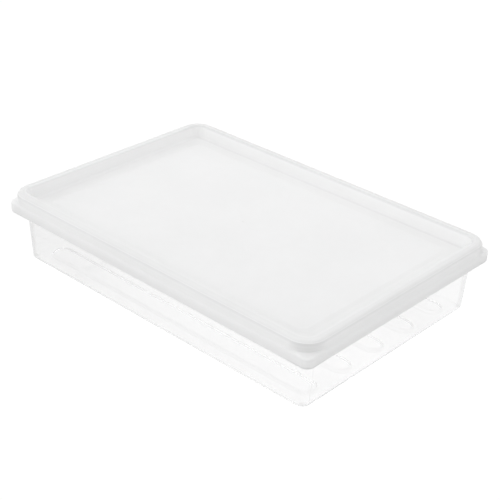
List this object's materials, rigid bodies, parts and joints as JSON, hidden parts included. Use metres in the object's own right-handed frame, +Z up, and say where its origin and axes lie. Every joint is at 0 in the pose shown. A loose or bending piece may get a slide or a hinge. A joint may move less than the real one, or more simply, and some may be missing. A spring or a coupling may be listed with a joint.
{
  "type": "bacon storage container",
  "caption": "Shallow clear rectangular food keeper with long raised floor ribs and a milky press-fit lid that lifts off, its top recessed for stacking.",
  "frame": {"origin": "centre of the flat underside of the tray, on the surface it stands on", "axes": "+X along the long side and the ribs, +Y along the short side, +Z up out of the lid"},
  "size_m": [0.2874, 0.1946, 0.0545],
  "materials": {
    "tray_plastic": "clear polished moulded plastic",
    "lid_plastic": "milky translucent soft plastic, satin"
  },
  "bodies": {
    "tray": {"base_tray": "tray_plastic"},
    "lid_body": {"lid": "lid_plastic"}
  },
  "joints": [
    {"name": "lid_lift", "type": "slide", "parent": "tray", "child": "lid_body", "axis": [0, 0, 1], "range_m": [0, 0.08]}
  ]
}
